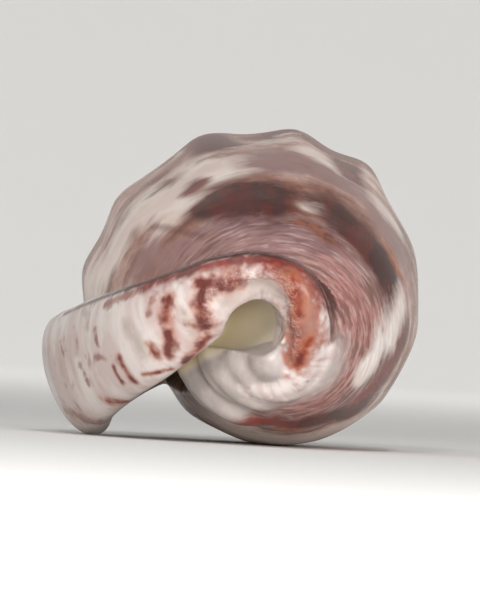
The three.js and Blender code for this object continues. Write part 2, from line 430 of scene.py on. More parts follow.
def joinPieces(pieces, name):
    startClean()
    for piece in pieces:
        piece.select_set(True)
    bpy.context.view_layer.objects.active = pieces[0]
    bpy.ops.object.transform_apply(location=True, rotation=True, scale=True)
    bpy.ops.object.join()
    joined = bpy.context.object
    joined.name = name
    joined.data.name = name
    return joined


def makeActive(piece):
    startClean()
    piece.select_set(True)
    bpy.context.view_layer.objects.active = piece


def applyModifier(piece, kind, settings):
    makeActive(piece)
    bpy.ops.object.modifier_add(type=kind)
    modifier = piece.modifiers[-1]
    for name, value in settings.items():
        setattr(modifier, name, value)
    bpy.ops.object.modifier_apply(modifier=modifier.name)


def fuse(piece):
    applyModifier(piece, "REMESH", {"mode": "VOXEL", "voxel_size": skin["voxel"]})


def cutAway(piece, cutter):
    applyModifier(piece, "BOOLEAN", {"operation": "DIFFERENCE", "object": cutter, "solver": "EXACT"})
    makeActive(cutter)
    bpy.ops.object.delete()


def makeShell():
    shell = joinPieces(addWhorls(), "shellSkin")
    fuse(shell)
    hollow = addCoil("hollowPart", hollowSection, mouth["hollowEnd"], mouth["hollowMouth"],
                     step=4, stretches=1)
    cutAway(shell, hollow[0])
    pieces = [shell, addSweep("rollPart", lipRoll["stations"], lipRoll["steps"], lipRoll["ringPoints"])]
    pieces.append(addSweep("pillarPart", columella["stations"], steps=40, ringPoints=28))
    for height in columella["plaitHeights"]:
        pieces.append(addSweep("plaitPart", plaitStations(height), steps=40, ringPoints=12))
    for name, places in folds.items():
        foldStations = [(at, radius, radius) for at, radius in places]
        pieces.append(addSweep(name + "Fold", foldStations, steps=60, ringPoints=24))
    shell = joinPieces(pieces, "shellSkin")
    fuse(shell)
    canalStations = [(at, canal["radius"], canal["radius"]) for at in canal["stations"]]
    cutAway(shell, addSweep("canalPart", canalStations, steps=30, ringPoints=40))
    fuse(shell)
    applyModifier(shell, "SMOOTH", {"factor": skin["smoothFactor"], "iterations": skin["smoothing"]})
    triangles = 2 * len(shell.data.polygons)
    applyModifier(shell, "DECIMATE", {"ratio": min(1, skin["triangles"] / triangles)})
    bpy.ops.object.shade_smooth()
    return shell


def readPoints(mesh, kind):
    values = np.empty(len(mesh.vertices) * 3, dtype=np.float32)
    mesh.vertices.foreach_get(kind, values)
    return values.reshape(-1, 3).astype(np.float64)


# The pattern climbs by the length of the wall's outline, then by that of the ramp
climbing = {
    "wallHeight": 24.6,          # millimetres, from the front end to the shoulder
    "rampLength": 5.0,
    "knobRoom": 0.6,
}
climbShares = np.linspace(0, 1, 400)
climbSteps = np.hypot(np.diff(outline(climbShares)), np.diff(climbShares) * climbing["wallHeight"])
climbLengths = np.concatenate([[0], np.cumsum(climbSteps)])


# Place of each point on the nearest whorl: angle, share of the wall (past 1 on the ramp) and climb
def coilPlace(points):
    radius = np.hypot(points[:, 0], points[:, 2])
    y = points[:, 1]
    flatAngle = np.degrees(np.arctan2(points[:, 2], points[:, 0]))
    best = np.full(len(points), 1e9)
    angle = flatAngle.copy()
    share = np.zeros(len(points))
    for turn in (0, 1, -1, -2, -3):
        trial = flatAngle + 360 * turn
        allowed = (trial < coil["lipAngle"] + 6) & (trial > coil["apexAngle"])
        low, high = frontY(trial), shoulderY(trial)
        wallShare = np.clip((y - low) / (high - low), 0, 1)
        off = np.hypot(radius - wallRadius(trial, wallShare), y - (low + (high - low) * wallShare))
        better = allowed & (off < best)
        best[better], angle[better], share[better] = off[better], trial[better], wallShare[better]
        outer = coil["shoulderRadius"] * growth(trial)
        inner, sutureY = suture(trial)
        rampShare = np.clip((outer - radius) / (outer - inner), 0, 1)
        rampY = high + (sutureY - high) * np.sin(rampShare * math.pi / 2) ** coil["rampBulge"]
        off = np.hypot(np.maximum(radius - outer - climbing["knobRoom"], 0), y - rampY)
        better = allowed & (off < best) & (rampShare > 0)
        best[better], angle[better], share[better] = off[better], trial[better], 1 + rampShare[better]
    climb = np.interp(np.minimum(share, 1), climbShares, climbLengths)
    climb += climbing["rampLength"] * np.maximum(share - 1, 0)
    return angle, share, climb * growth(angle)


# The bare lining of the mouth: how deep under the outer wall it starts, in millimetres, and how far
# it reaches past the ends of the wall, the lip and the hollow, in degrees
lining = {
    "depth": (0.35, 0.7),
    "pastWall": 16.0,
    "fade": 10.0,
    "pastLip": 24.0,
    "pastHollow": 8.0,
    "overShoulder": 0.5,
}


def insidePlace(points):
    radius = np.hypot(points[:, 0], points[:, 2])
    flatAngle = np.degrees(np.arctan2(points[:, 2], points[:, 0]))
    inside = np.zeros(len(points))
    for turn in (0, 1):
        trial = flatAngle + 360 * turn
        share = shareAt(trial, points[:, 1])
        stop = turnedAngle(np.full_like(trial, coil["lipAngle"]), share)
        under = smooth(wallRadius(trial, share) - radius, *lining["depth"])
        under *= smooth(stop + lining["pastWall"] - trial, 0, lining["fade"])
        under *= points[:, 1] < shoulderY(trial) + lining["overShoulder"]
        under *= trial > mouth["hollowEnd"] - lining["pastHollow"]
        inside = np.maximum(inside, np.where(trial < coil["lipAngle"] + lining["pastLip"], under, 0))
    return inside


lipRows = followStations(lipRoll["stations"], lipRoll["steps"])
lipCentres = np.array([list(row[0]) for row in lipRows])
lipWidths = np.array([row[1] for row in lipRows])
lipDepths = np.array([row[2] for row in lipRows])
lipAcross = np.array([list(row[3]) for row in lipRows])
lipOutward = np.array([list(row[4]) for row in lipRows])
lipAhead = np.gradient(lipCentres, axis=0)


# Place of each point on the roll: share of its length, degrees round it and distance in half widths.
# A point belongs to the station that it stands level with and lies nearest to
def lipPlace(points):
    batch = 8000
    ringWeight, mostSlip, freeSlip = 0.6, 0.7, 0.25
    along, around, nearness = np.empty(len(points)), np.empty(len(points)), np.empty(len(points))
    stepLength = np.linalg.norm(lipAhead, axis=1)
    heading = lipAhead / stepLength[:, None]
    for first in range(0, len(points), batch):
        part = points[first:first + batch]
        offsets = part[:, None, :] - lipCentres[None]
        a = np.einsum("pri,ri->pr", offsets, lipAcross) / lipWidths
        b = -np.einsum("pri,ri->pr", offsets, lipOutward) / lipDepths
        ahead = np.einsum("pri,ri->pr", offsets, heading)
        ring = np.hypot(a, b)
        row = np.argmin(np.abs(ahead) + ringWeight * np.abs(ring - 1), axis=1)
        pick = np.arange(len(part))
        slip = ahead[pick, row]
        span = slice(first, first + batch)
        along[span] = (row + np.clip(slip / stepLength[row], -mostSlip, mostSlip)) / lipRoll["steps"]
        around[span] = np.degrees(np.arctan2(b[pick, row], a[pick, row]))
        nearness[span] = ring[pick, row] + np.maximum(np.abs(slip) - freeSlip, 0)
    return along, around, nearness


def lipPoint(along, around):
    place = np.clip(along, 0, 1) * lipRoll["steps"]
    row = min(int(place), lipRoll["steps"] - 1)
    mix = place - row
    cosine, sine = math.cos(math.radians(around)), math.sin(math.radians(around))
    spots = [lipCentres[k] + lipAcross[k] * lipWidths[k] * cosine - lipOutward[k] * lipDepths[k] * sine
             for k in (row, row + 1)]
    return spots[0] * (1 - mix) + spots[1] * mix


# A painted mark is a chain of places with a half width in millimetres; 1 on its line, 0 at its edge
def markField(points, chains, placePoint):
    field = np.full(len(points), -1.0)
    shares = np.linspace(0, 1, 30)
    for width, chain in chains:
        dense = []
        for start, end in zip(chain[:-1], chain[1:]):
            start, end = np.array(start), np.array(end)
            dense += [placePoint(*(start * (1 - share) + end * share)) for share in shares]
        if len(chain) == 1:
            dense = [placePoint(*chain[0])]
        dense = np.array(dense, dtype=np.float64)
        reach = 2.1 * width      # the field has fallen to -1 by then
        near = np.all((points > dense.min(0) - reach) & (points < dense.max(0) + reach), axis=1)
        if not near.any():
            continue
        gaps = np.sqrt(((points[near][:, None] - dense[None]) ** 2).sum(2)).min(1)
        field[near] = np.maximum(field[near], 1 - gaps / width)
    return field


def bodyPoint(angle, share):
    return coilPoint(angle, *wallPoint(angle, share))


# Marks of the last whorl as (angle, share) places, where share runs from the front end to the shoulder
bodyMarks = {
    "umber": [
        (1.7, [(121, 0.33), (114, 0.31), (108, 0.3)]),
        (2.7, [(106, 0.36), (100, 0.35), (97, 0.3)]),
        (1.7, [(95, 0.27), (91, 0.25)]),
        (2.8, [(60, 0.32), (48, 0.28), (38, 0.265), (29, 0.27)]),
        (1.2, [(-46, 0.26), (-54, 0.19), (-62, 0.17), (-70, 0.165)]),
    ],
    "russet": [
        (1.7, [(33, 0.27), (27, 0.28), (22, 0.28)]),
        (1.5, [(-3, 0.34), (-14, 0.3), (-25, 0.26), (-36, 0.21)]),
        (1.1, [(-78, 0.16), (-93.8, 0.145), (-107.4, 0.15), (-114, 0.17)]),
        (1.1, [(130.2, 0.8)]),
        (1.8, [(108.4, 0.78), (111, 0.92)]),
        (1.0, [(122, 0.475), (118, 0.5)]),
        (1.5, [(91.3, 0.9), (85, 0.96)]),
        (1.4, [(71, 0.865), (68, 0.95)]),
        (1.2, [(61.5, 0.78), (60, 0.66)]),
    ],
    "tawny": [
        (1.5, [(84, 0.36), (78.5, 0.33)]),
        (1.5, [(70, 0.41), (65.7, 0.35), (59.7, 0.345)]),
        (0.6, [(80, 0.2), (72, 0.195), (64.5, 0.175)]),
        (1.0, [(-40, 0.33), (-46, 0.27)]),
    ],
    # A thin brown line on the shaded side of a low growth rib, painted partly as that shade
    "ribLineAndShade": [
        (0.42, [(141, 0.45), (138, 0.385), (134.8, 0.32), (131.5, 0.265), (127, 0.215)]),
    ],
    "amber": [
        (1.4, [(31, 0.35), (24, 0.355), (17, 0.335), (15, 0.3)]),
        (0.8, [(-2, 0.39), (-14, 0.345), (-25, 0.3), (-34, 0.26)]),
        (0.7, [(-80, 0.19), (-90, 0.175)]),
    ],
    "white": [
        (2.0, [(10, 0.31), (5, 0.27), (-1.5, 0.22)]),
        (1.6, [(-6.3, 0.165), (-15.7, 0.135), (-26.5, 0.13)]),
    ],
    "creamAndPaintedLight": [
        (3.0, [(139.7, 0.675), (133.9, 0.56), (128, 0.42)]),
        (2.6, [(151, 0.64), (158, 0.565), (168, 0.6), (174, 0.8)]),
        (2.5, [(119.1, 0.67), (113.7, 0.62), (110.2, 0.5)]),
        (2.0, [(74, 0.72), (64, 0.68)]),
        (1.8, [(42, 0.62), (34, 0.66)]),
        (1.0, [(77, 0.28), (72, 0.3)]),
        (3.6, [(-50, 0.42), (-75, 0.36), (-100, 0.34), (-125, 0.38)]),
        # The next two chains are painted light: they lighten the underside beside the lip and the far back
        # seen past it, which lie in shade
        (3.6, [(224, 0.3), (205, 0.36), (185, 0.45)]),
        (4.0, [(217, 0.6), (217, 0.9)]),
        (0.35, [(15, 0.012), (8, 0.012)]),
    ],
    "blush": [
        (3.6, [(40, 0.07), (15, 0.1), (-10, 0.1), (-35, 0.09), (-60, 0.08), (-80, 0.08)]),
        (3.0, [(-100, 0.35), (-125, 0.45)]),
    ],
    "mauve": [
        (2.8, [(149.5, 0.33), (141.3, 0.25), (134.9, 0.18)]),
        (3.2, [(115, 0.17), (95, 0.11), (75, 0.11), (50, 0.12)]),
        (3.6, [(100, 0.55), (80, 0.6), (58, 0.55), (36, 0.5)]),
    ],
}

# Marks of the rolled lip as (along, around) places, where around 0 faces the mouth and -90 outwards.
# The first two are the hook's crest and the white furrow beside it, which shape the skin as well
crestPlaces = [(0.425, -45), (0.431, -53), (0.438, -71), (0.45, -83), (0.469, -82), (0.494, -77),
               (0.519, -71), (0.55, -78), (0.569, -81), (0.588, -60), (0.619, -50), (0.656, -51),
               (0.688, -57), (0.725, -60)]
furrowPlaces = [(0.46, -45), (0.494, -50), (0.52, -45), (0.55, -40), (0.575, -34)]
lipMarks = {
    "lipRed": [
        (0.62, [(0.444, -101), (0.456, -88), (0.469, -80), (0.487, -75)]),
        (0.66, [(0.444, -86), (0.431, -74), (0.425, -57), (0.419, -43)]),
        (0.5, [(0.394, -107), (0.388, -96), (0.381, -83)]),
        (0.5, [(0.375, -65), (0.369, -55), (0.362, -43)]),
        (0.42, [(0.35, -63), (0.35, -55), (0.35, -47)]),
        (0.46, [(0.412, -24), (0.4, -19), (0.388, -8), (0.369, -1)]),
        (0.2, [(0.325, -36), (0.338, -25), (0.35, -15)]),
        (0.3, [(0.312, -71), (0.312, -54), (0.312, -35)]),
        (0.22, [(0.3, -62), (0.3, -44)]),
        (0.45, [(0.263, -30), (0.269, -16), (0.275, -5)]),
        (0.5, [(0.575, -94), (0.594, -73), (0.631, -62)]),
        (0.4, [(0.688, -85), (0.719, -78), (0.762, -70)]),
    ],
    "lipMauve": [
        (0.3, [(0.369, -119), (0.362, -102)]),
        (0.3, [(0.256, -82), (0.256, -61)]),
        (0.3, [(0.281, -83), (0.294, -77)]),
        (0.25, [(0.287, -111), (0.287, -97)]),
        (0.22, [(0.256, -110), (0.256, -98)]),
        (0.22, [(0.225, -119), (0.231, -102)]),
        (0.4, [(0.325, -146), (0.3, -140), (0.35, -140)]),
        (0.45, [(0.619, -85), (0.669, -83)]),
        (0.8, [(0.19, -60), (0.219, -36), (0.219, -4)]),
    ],
    "crease": [
        (0.6, [(0.36, -150), (0.41, -146), (0.45, -133), (0.481, -119), (0.519, -108), (0.54, -110)]),
        (0.75, [(0.53, -112), (0.55, -120), (0.57, -130), (0.588, -138), (0.606, -144), (0.625, -147)]),
    ],
    # Painted shade: a thin dark line in the crease between the roll and the body
    "rollCreaseShadeLine": [
        (0.3, [(0.22, -156), (0.3, -156), (0.36, -158), (0.41, -158), (0.45, -150), (0.481, -138),
                (0.519, -130), (0.54, -130), (0.5625, -140), (0.588, -150), (0.606, -155), (0.65, -158)]),
    ],
    "lipWhite": [
        (0.35, [(0.262, -141), (0.275, -130), (0.275, -115)]),
        (0.75, [(0.331, -100), (0.338, -82), (0.338, -65)]),
        (0.6, [(0.4, -80), (0.4, -45)]),
        (0.8, furrowPlaces),
    ],
    "salmon": [
        (1.5, [(0.56, -105), (0.6, -85), (0.65, -70), (0.69, -68)]),
        (1.1, [(0.69, -68), (0.74, -64)]),
    ],
    "crest": [(0.3, crestPlaces)],
}

# The glaze round the siphonal end reaches this far from the axis, by angle
callusReach = {
    "angles": [-180, -150, -125, -110, -82, -41, 0, 25, 60, 180],
    "radii": [9.0, 9.0, 7.0, 4.8, 3.8, 4.1, 4.1, 3.2, 2.6, 2.6],
}


hook = {
    "crestWidth": 1.0,           # millimetres
    "crestLift": 0.2,
    "crestFlank": 0.35,          # share of the width that stays flat
    "furrowWidth": 0.7,
    "furrowDepth": 0.14,
}


def shapeCrest(shell):
    mesh = shell.data
    points = readPoints(mesh, "co")
    normals = readPoints(mesh, "normal")
    crest = np.clip(markField(points, [(hook["crestWidth"], crestPlaces)], lipPoint), 0, 1)
    furrow = np.clip(markField(points, [(hook["furrowWidth"], furrowPlaces)], lipPoint), 0, 1)
    lift = hook["crestLift"] * smooth(crest, hook["crestFlank"], 1)
    lift -= hook["furrowDepth"] * smooth(furrow, 0, 1)
    mesh.vertices.foreach_set("co", (points + normals * lift[:, None]).astype(np.float32).ravel())
    mesh.update()


# Edges of the zones that the paint reads, from nothing to full
zones = {
    "roll": (1.3, 1.08),         # half widths from the roll's middle
    "rollEnd": 0.985,            # share of the roll's length, as is every "Along"
    "outerSide": (90, 115),      # degrees round the roll
    "callusEdge": 1.2,           # millimetres
    "callusBack": (15, 10),
    "callusStop": (2.6, 1.9),
    "callusStopAlong": (0.78, 0.62),
    "deepFrom": 2.0,             # millimetres from the front end
    "deepLength": 6.0,
    "deepRoll": (9, 1.05),
    # Painted shade: a dark band on the body in the crease just outside the roll, on its upper side
    "bodyCreaseShade": (1.5, 1.3),
    "bodyCreaseShadeClear": (1.04, 1.1),
    "bodyCreaseShadeStartAlong": (0.26, 0.34),
    "bodyCreaseShadeEndAlong": (0.63, 0.7),
    "upper": (-0.5, 1.0),        # millimetres above the axis
    # Painted shade on the roll's back flank, which faces into the crease
    "rollBackShadeAlong": (0.24, 0.36),
    "rollBackShadePlaces": [0.36, 0.45, 0.5, 0.55, 0.6],
    "rollBackShadeTurns": [148, 136, 124, 126, 142],    # degrees round the roll, at those places
    "rollBackShadeFade": 14,
    "ringZone": (0.32, 0.15),    # share of the wall's height
    "elsewhere": (0.5, 0.75),    # from there to the shoulder
}


# Stores where each vertex lies, as fields that the material reads: turn and climb on the coil, place on
# the roll, inside or outside, and how near it is to each mark
def paintFields(shell):
    points = readPoints(shell.data, "co")
    angle, share, climb = coilPlace(points)
    along, around, nearness = lipPlace(points)
    roll = smooth(nearness, *zones["roll"]) * (along < zones["rollEnd"])
    inside = insidePlace(points)
    deep = np.clip((points[:, 1] - zones["deepFrom"]) / zones["deepLength"], 0, 1)
    deep *= smooth(nearness, *zones["deepRoll"])
    outerSide = smooth(-around, *zones["outerSide"])
    upper = smooth(points[:, 2], *zones["upper"])

    radius = np.hypot(points[:, 0], points[:, 2])
    reach = np.interp((angle + 180) % 360 - 180, callusReach["angles"], callusReach["radii"])
    callus = np.clip((reach - radius) / zones["callusEdge"] + 0.5, 0, 1)
    callus *= smooth(points[:, 1], *zones["callusBack"])
    beside = smooth(nearness, *zones["callusStop"]) * smooth(along, *zones["callusStopAlong"])
    callus *= 1 - outerSide * beside

    # Painted shade: a dark band on the body in the crease just outside the roll, upper side only
    bodyCreaseShade = smooth(nearness, *zones["bodyCreaseShade"]) * smooth(nearness, *zones["bodyCreaseShadeClear"]) * outerSide * upper
    bodyCreaseShade *= smooth(along, *zones["bodyCreaseShadeStartAlong"]) * (1 - smooth(along, *zones["bodyCreaseShadeEndAlong"]))
    # Painted shade: the roll's back flank, which faces into the crease, is darkened on the upper side
    rollBackShadeTurn = np.interp(along, zones["rollBackShadePlaces"], zones["rollBackShadeTurns"])
    rollBackShade = smooth(np.abs(around) - rollBackShadeTurn, 0, zones["rollBackShadeFade"])
    rollBackShade *= smooth(along, *zones["rollBackShadeAlong"]) * upper

    fields = {
        "turns": angle / 360,
        "climb": climb,
        "lipAlong": along,
        "lipAround": around / 180,
        "roll": roll,
        "inside": inside * (1 - roll),
        "deepInside": deep * inside * (1 - roll),
        "callus": callus,
        "bodyCreaseShade": bodyCreaseShade,
        "rollBackShade": rollBackShade,
        "ringZone": smooth(share, *zones["ringZone"]),
        "elsewhere": smooth(share, *zones["elsewhere"]),
        "growthLines": (1 - roll) * (1 - callus) * (1 - inside),
    }
    for marks, placePoint in ((bodyMarks, bodyPoint), (lipMarks, lipPoint)):
        for name, chains in marks.items():
            fields[name] = markField(points, chains, placePoint)
    for name, values in fields.items():
        field = shell.data.attributes.new(name, "FLOAT", "POINT")
        field.data.foreach_set("value", np.asarray(values, dtype=np.float32))


# From coil millimetres to the way that the shell lies at rest
rest = {
    "place": (2.495, -17.258, 6.252),
    "pitch": 7.15,               # degrees by which the siphonal end dips
    "lean": 3.83,                # and the lip side
}


def restMatrix():
    pitch = Matrix.Rotation(math.radians(rest["pitch"]), 4, "X")
    lean = Matrix.Rotation(math.radians(-rest["lean"]), 4, "Y")
    return Matrix.Scale(millimetre, 4) @ Matrix.Translation(rest["place"]) @ lean @ pitch


shell = makeShell()
shapeCrest(shell)
paintFields(shell)
shell.data.transform(restMatrix())
shell.data.update()
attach(shell, "root")
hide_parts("shell")
print("shell modelled:", len(shell.data.polygons), "faces")


def linear(hexText):
    values = [int(hexText[i:i + 2], 16) / 255 for i in (1, 3, 5)]
    return [v / 12.92 if v <= 0.04045 else ((v + 0.055) / 1.055) ** 2.4 for v in values] + [1.0]


# Adds one node: inputs are values, hex colours or the outputs that feed them
def addNode(material, kind, inputs, output=0, **settings):
    tree = material.node_tree
    node = tree.nodes.new("ShaderNode" + kind)
    for name, value in settings.items():
        setattr(node, name, value)
    for socket, value in inputs.items():
        if isinstance(value, bpy.types.NodeSocket):
            tree.links.new(value, node.inputs[socket])
        elif isinstance(value, str):
            node.inputs[socket].default_value = linear(value)
        else:
            node.inputs[socket].default_value = value
    return node.outputs[output]


# Fills a colour ramp with stops, each a place and a hex colour
def setRamp(node, stops):
    elements = node.color_ramp.elements
    while len(elements) < len(stops):
        elements.new(0.5)
    for element, (place, colour) in zip(elements, stops):
        element.position = place
        element.color = linear(colour)


# Marginella shell, grown layer on layer and glazed by the animal's mantle: porcelain gloss over a
# cream and mauve ground, with flames and flecks that follow the coil
shellLook = {
    # field along and its cells (for a turn, or for the whole roll), field across and its cell (in
    # millimetres, or half turns round the roll), layer, waviness, detail
    "coilNoises": {
        "streaks": ("turns", 20, "climb", 0.36, 0, 0.9, 3),
        "clouds": ("turns", 9, "climb", 2.4, 5, 0.6, 4),
        "flames": ("turns", 14.4, "climb", 1.9, 9, 0.9, 4),
        "dashes": ("turns", 24, "climb", 0.26, 7, 0.9, 2),
        "axial": ("turns", 30, "climb", 6.0, 13, 1.2, 3),
        "lines": ("turns", 150, "climb", 5.0, 3, 0.3, 2),
        "bands": ("lipAlong", 55, "lipAround", 0.62, 2, 0.2, 3),
        "broadBands": ("lipAlong", 24, "lipAround", 0.8, 17, 0.4, 2),
    },
    "grains": {"grain": 0.25, "blots": 0.55, "waver": 1.1},      # millimetres
    "shoulderMix": {"clouds": 0.75, "axial": 0.35, "streaks": 0.1},
    "shoulderTones": [(0.4, "#6f483b"), (0.48, "#8f6658"), (0.55, "#a88477"), (0.64, "#c6b1a6")],
    # field, wobble by noise, start, full, strength, tones and the noise that chooses between them
    "bodyLayers": [
        ("ringZone", {"clouds": 1.4}, 0.3, 0.8, 1.0, ("#6f514b", "#8d716b"), "streaks"),
        ("mauve", {"flames": 1.4, "clouds": 2.2}, -0.2, 0.8, 0.75, ("#8b6a67", "#77595a"), "clouds"),
        ("blush", {"flames": 1.6, "streaks": 3.0}, 0.0, 1.0, 0.55, ("#8f554b", "#a27169"), "streaks"),
        ("ringZone", {"dashes": 9.0}, 1.3, 2.2, 0.45, ("#5a3d39", "#6f4a44"), None),
        ("ringZone", {"dashes": -9.0}, 1.4, 2.4, 0.32, ("#bba8a5", "#c3b2ae"), None),
        ("elsewhere", {"flames": 7.0}, 1.5, 2.2, 0.75, ("#75402f", "#5b2b27"), "clouds"),
        ("elsewhere", {"flames": -7.0}, 1.5, 2.2, 0.6, ("#d3c8bf", "#c9b8b0"), "clouds"),
        # the shell's cream patches, and painted light where two chains lift parts that lie in shade
        ("creamAndPaintedLight", {"flames": 1.7, "clouds": 2.2}, -0.25, 0.8, 0.85, ("#e0d4ca", "#d0bdb3"), "clouds"),
        ("amber", {"flames": 1.6, "streaks": 1.0}, -0.3, 0.8, 0.8, ("#b06c2f", "#8f4a25"), "blots"),
        ("tawny", {"flames": 1.8, "clouds": 1.6}, -0.4, 0.8, 0.85, ("#7a4630", "#5a3026"), "blots"),
        ("russet", {"flames": 1.4, "clouds": 1.8, "streaks": 0.5}, -0.3, 0.6, 0.92,
         ("#722a1f", "#4b1817"), "clouds"),
        ("umber", {"flames": 1.4, "clouds": 1.8, "streaks": 0.5}, -0.3, 0.6, 0.94,
         ("#4a150b", "#300b09"), "axial"),
        # a thin brown line on a growth rib, its darkness partly painted shade
        ("ribLineAndShade", {"waver": 0.9}, -0.2, 1.0, 0.55, ("#5d3c38", "#5d3c38"), None),
        ("white", {"flames": 1.8, "streaks": 0.8}, -0.1, 0.8, 0.92, ("#e2dcd6", "#d2c4bc"), "streaks"),
        ("callus", {"flames": 0.3}, -0.1, 1.1, 0.85, ("#a79f9b", "#b0a8a2"), "waver"),
    ],
    "lipGround": ("#bfaea9", "#cdc3be"),
    "lipLayers": [
        ("everywhere", {"broadBands": 6.0}, 0.05, 1.0, 0.6, ("#a98b84", "#b39590"), "waver"),
        ("salmon", {"waver": 1.8, "blots": 0.7}, -0.5, 0.6, 0.9, ("#783b2a", "#935545"), "waver"),
        ("lipWhite", {"waver": 1.6}, -0.3, 0.8, 0.85, ("#a99a91", "#b6a9a2"), "waver"),
        ("lipMauve", {"waver": 2.4, "blots": 1.0}, -0.4, 1.0, 0.85, ("#97705f", "#845c54"), "waver"),
        ("crease", {"waver": 1.6, "blots": 0.7}, -0.9, 0.8, 0.92, ("#7c2f23", "#5b1f1b"), "waver"),
        ("lipRed", {"waver": 2.2, "blots": 0.6}, -1.0, 0.3, 0.5, ("#a96d4f", "#ad7561"), "waver"),
        ("lipRed", {"waver": 2.2, "blots": 0.7}, -0.4, 1.0, 0.92, ("#7c3021", "#5c1d17"), "waver"),
        # painted shade: the roll's back flank, facing into the crease
        ("rollBackShade", {"waver": 0.8}, 0.0, 0.8, 0.92, ("#66463f", "#54342f"), "blots"),
        # painted shade: a thin dark line in the crease
        ("rollCreaseShadeLine", {"waver": 0.8}, -0.2, 0.9, 0.8, ("#3d1a17", "#3d1a17"), None),
    ],
    "topLayers": [
        # painted shade: a dark band in the crease between the roll and the body
        ("bodyCreaseShade", {"waver": 0.8}, 0.1, 0.8, 0.85, ("#3a2120", "#3a2120"), None),
        ("inside", {}, 0.0, 1.0, 1.0, ("#cfc8ba", "#cfc8ba"), None),
        ("deepInside", {}, 0.0, 1.0, 1.0, ("#d3c19c", "#d3c19c"), None),
    ],
    "bandEdges": (-0.06, 0.08),
    "toneEdges": (-0.1, 0.1),
    "wetEdges": (-0.7, 0.4),     # the crest of the hook is glossier, and finely wrinkled
    "roughness": 0.27,
    "wetRoughness": 0.16,
    "lineHeight": 0.08,
    "wrinkleHeight": 2.8,
    "bumpStrength": 0.6,
    "bumpDistance": 0.2,         # millimetres
    "ior": 1.53,                 # the lowest of aragonite's three
    "specularLevel": 0.25,       # half of the usual, so that dark marks stay dark under the glaze
    "subsurface": 0.12,
    "subsurfaceRadius": (1.0, 0.55, 0.4),
    "subsurfaceScale": 0.6,      # millimetres
}
# Sockets of a Mix node: two colours in and one out
firstTone, secondTone, mixedTone = 6, 7, 2


# What the layers read: the stored fields, grains in the shell's own space and noises along the coil
def shellSources(material, look):
    sources = {"everywhere": 0.0}
    for name in shell.data.attributes.keys():
        if shell.data.attributes[name].data_type == "FLOAT":
            sources[name] = addNode(material, "Attribute", {}, "Fac", attribute_name=name)
    place = addNode(material, "TexCoord", {}, "Object")
    for name, size in look["grains"].items():
        scale = 1 / (size * millimetre)
        noise = addNode(material, "TexNoise", {"Vector": place, "Scale": scale, "Detail": 2})
        sources[name] = addNode(material, "Math", {0: noise, 1: 0.5}, operation="SUBTRACT")
    for name, (alongName, cells, acrossName, width, layer, wave, detail) in look["coilNoises"].items():
        along = addNode(material, "Math", {0: sources[alongName], 1: cells}, operation="MULTIPLY")
        across = addNode(material, "Math", {0: sources[acrossName], 1: width}, operation="DIVIDE")
        across = addNode(material, "Math", {0: sources["waver"], 1: wave, 2: across},
                         operation="MULTIPLY_ADD")
        vector = addNode(material, "CombineXYZ", {"X": along, "Y": across, "Z": layer})
        noise = addNode(material, "TexNoise", {"Vector": vector, "Scale": 1, "Detail": detail})
        sources[name] = addNode(material, "Math", {0: noise, 1: 0.5}, operation="SUBTRACT")
    return sources


def paintLayers(material, look, layers, colour, sources):
    low, high = look["toneEdges"]
    for name, wobble, start, full, strength, tones, chooser in look[layers]:
        total = sources[name]
        for noiseName, amount in wobble.items():
            total = addNode(material, "Math", {0: sources[noiseName], 1: amount, 2: total},
                            operation="MULTIPLY_ADD")
        mask = addNode(material, "MapRange", {"Value": total, "From Min": start, "From Max": full,
                       "To Max": strength}, interpolation_type="SMOOTHSTEP")
        tone = tones[0]
        if chooser:
            choice = addNode(material, "MapRange", {"Value": sources[chooser], "From Min": low,
                             "From Max": high}, interpolation_type="SMOOTHSTEP")
            tone = addNode(material, "Mix", {0: choice, firstTone: tones[0], secondTone: tones[1]},
                           mixedTone, data_type="RGBA")
        colour = addNode(material, "Mix", {0: mask, firstTone: colour, secondTone: tone}, mixedTone,
                         data_type="RGBA")
    return colour


